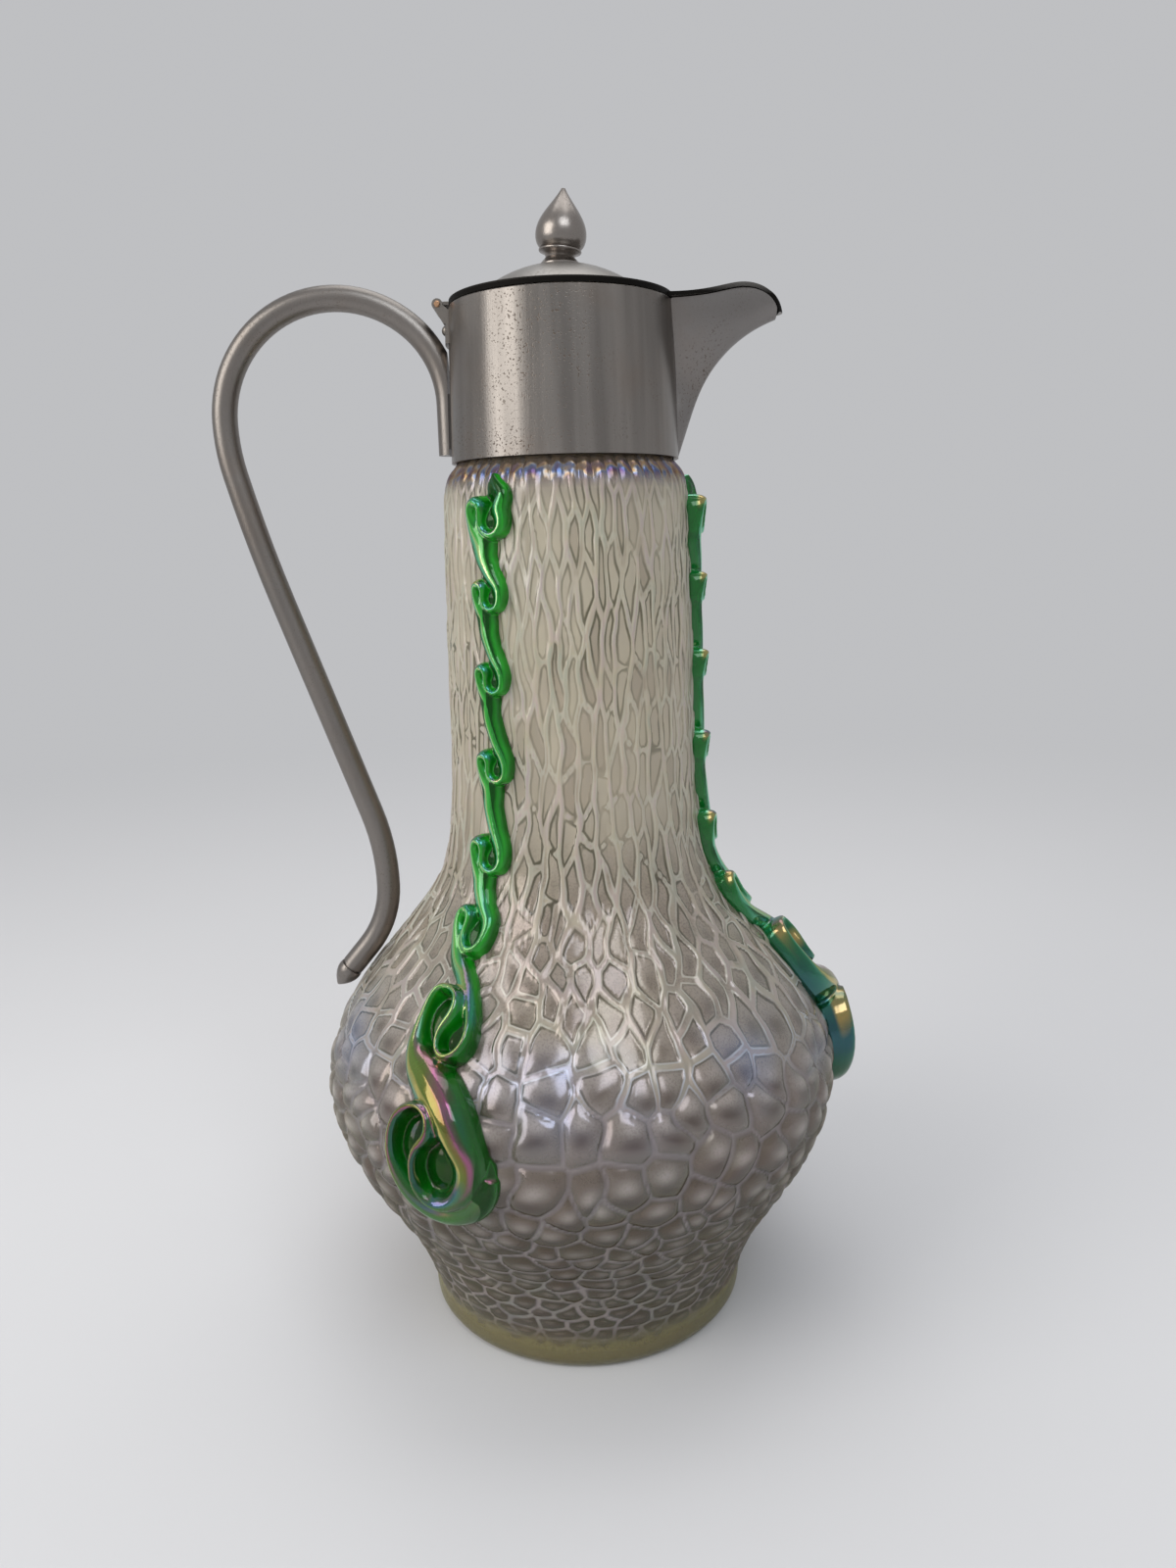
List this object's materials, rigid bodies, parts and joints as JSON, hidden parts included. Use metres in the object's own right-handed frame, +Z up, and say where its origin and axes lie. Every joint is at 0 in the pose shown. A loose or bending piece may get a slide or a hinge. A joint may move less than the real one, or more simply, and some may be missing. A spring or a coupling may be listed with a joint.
{
  "type": "claret jug",
  "caption": "Tall glass carafe with a textured wall, applied green glass trails, a metal collar with a spout and hinged lid, and a curved rod handle.",
  "frame": {"origin": "centre of the flat base, on the table", "axes": "+Z up, +X towards the spout, the handle on the -X side"},
  "size_m": [0.1706, 0.143, 0.2999],
  "materials": {
    "clear_glass": "clear, faintly iridescent",
    "green_glass": "emerald green with a metallic lustre",
    "pewter": "satin, worn",
    "plaster": "matt",
    "brass": "dull",
    "solder": "dull"
  },
  "bodies": {
    "jug": {"glass_body": "clear_glass", "trail_front_left": "green_glass", "trail_right": "green_glass", "trail_rear_left": "green_glass", "collar": "pewter", "cement_ring": "plaster", "neck_ring": "pewter", "spout": "pewter", "hinge_pin": "brass", "hinge_leaf_collar": "pewter", "hinge_rivets": "pewter", "handle": "pewter", "handle_tip": "pewter", "handle_solder": "solder"},
    "lid": {"lid": "pewter", "finial": "pewter", "finial_washer": "brass", "finial_nut": "brass", "hinge_leaf_lid": "pewter"}
  },
  "joints": [
    {"name": "lid_hinge", "type": "hinge", "parent": "jug", "child": "lid", "pos_m": [-0.0306, 0, 0.2726], "axis": [0, -1, 0], "range_deg": [0, 110]}
  ]
}
